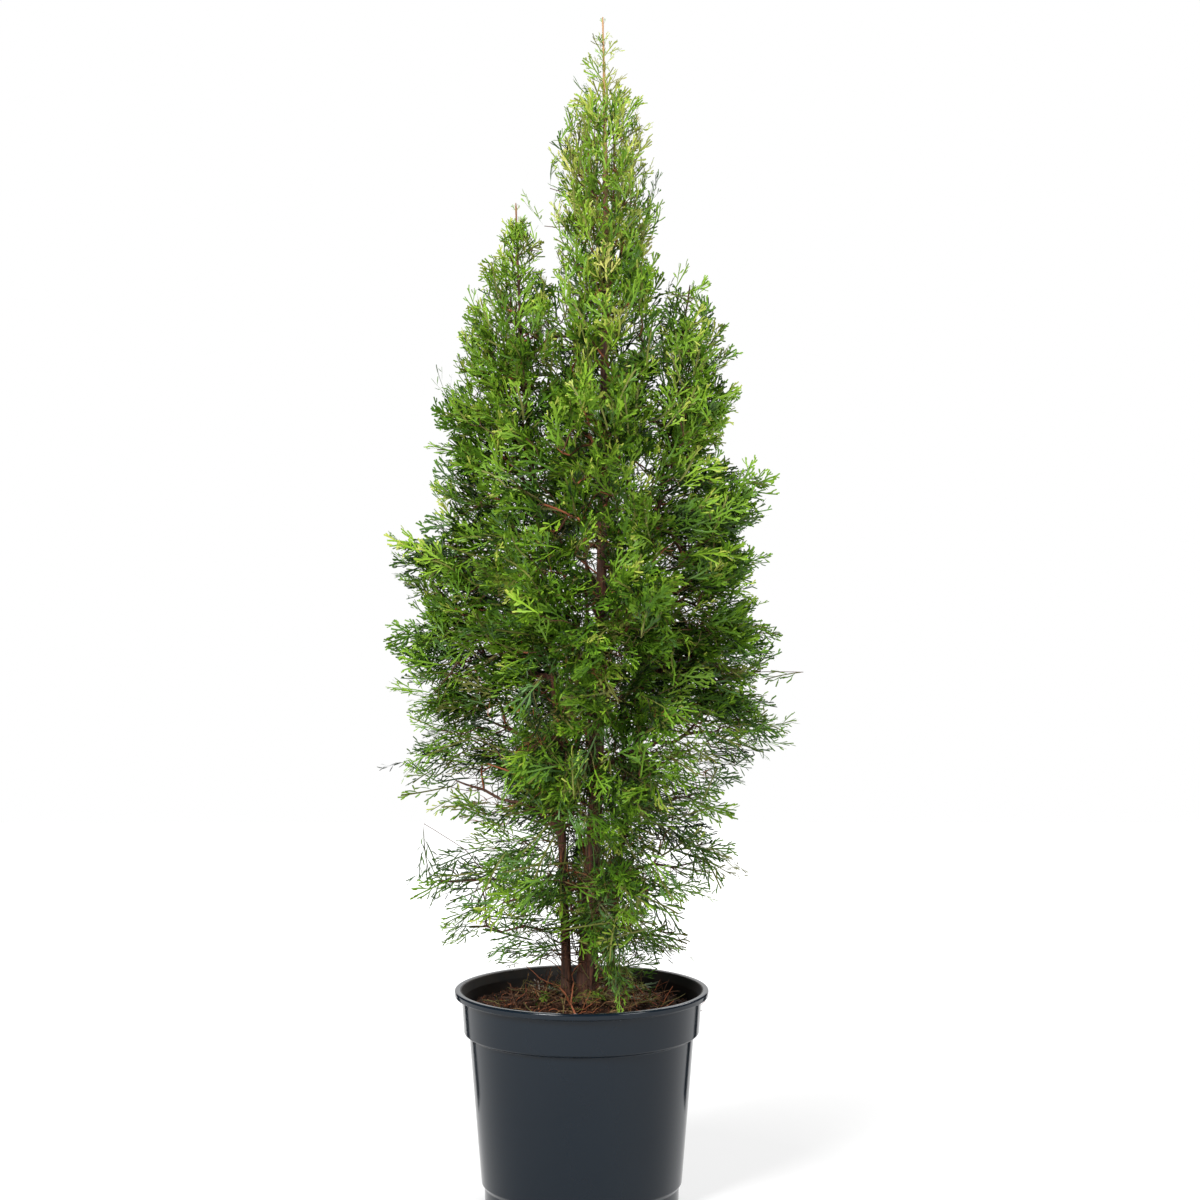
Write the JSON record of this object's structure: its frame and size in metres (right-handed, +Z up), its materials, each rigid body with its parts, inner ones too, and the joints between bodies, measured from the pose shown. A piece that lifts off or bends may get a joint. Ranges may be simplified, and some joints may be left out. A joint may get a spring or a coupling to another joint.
{
  "type": "potted thuja",
  "caption": "Young upright conifer with flat scale-leaved sprays and several slim stems, growing in a round black nursery pot of moist potting soil.",
  "frame": {"origin": "centre of the pot's flat underside, which stands on the ground", "axes": "+Z up along the plant, -Y towards the plant's front, +X towards its right as seen from the front"},
  "size_m": [0.464, 0.4056, 1.2934],
  "materials": {
    "pot_plastic": "gloss",
    "potting_soil": "matte",
    "bark": "matte",
    "foliage": "matte"
  },
  "bodies": {
    "root": {"bough_low_1": "bark", "bough_low_2": "bark", "bough_low_3": "bark", "bough_low_4": "bark", "bough_low_5": "bark", "bough_skirt_1": "bark", "bough_skirt_2": "bark", "bough_skirt_3": "bark", "bough_skirt_4": "bark", "foliage_breast_1": "foliage", "foliage_breast_2": "foliage", "foliage_breast_3": "foliage", "foliage_breast_4": "foliage", "foliage_breast_5": "foliage", "foliage_collar_1": "foliage", "foliage_collar_2": "foliage", "foliage_collar_3": "foliage", "foliage_collar_4": "foliage", "foliage_foot_spray": "foliage", "foliage_hip_1": "foliage", "foliage_hip_2": "foliage", "foliage_hip_3": "foliage", "foliage_hip_4": "foliage", "foliage_hip_5": "foliage", "foliage_low_1": "foliage", "foliage_low_2": "foliage", "foliage_low_3": "foliage", "foliage_low_4": "foliage", "foliage_low_5": "foliage", "foliage_middle_1": "foliage", "foliage_middle_2": "foliage", "foliage_middle_3": "foliage", "foliage_middle_4": "foliage", "foliage_middle_5": "foliage", "foliage_shoulder_1": "foliage", "foliage_shoulder_2": "foliage", "foliage_shoulder_3": "foliage", "foliage_shoulder_4": "foliage", "foliage_skirt_1": "foliage", "foliage_skirt_2": "foliage", "foliage_skirt_3": "foliage", "foliage_skirt_4": "foliage", "foliage_spire_heart": "foliage", "foliage_spire_left": "foliage", "foliage_spire_right": "foliage", "foliage_spire_top": "foliage", "foliage_waist_1": "foliage", "foliage_waist_2": "foliage", "foliage_waist_3": "foliage", "foliage_waist_4": "foliage", "foliage_waist_5": "foliage", "front_stem": "bark", "left_stem": "bark", "pot": "pot_plastic", "right_stem": "bark", "soil": "potting_soil", "trunk": "bark"}
  },
  "joints": []
}
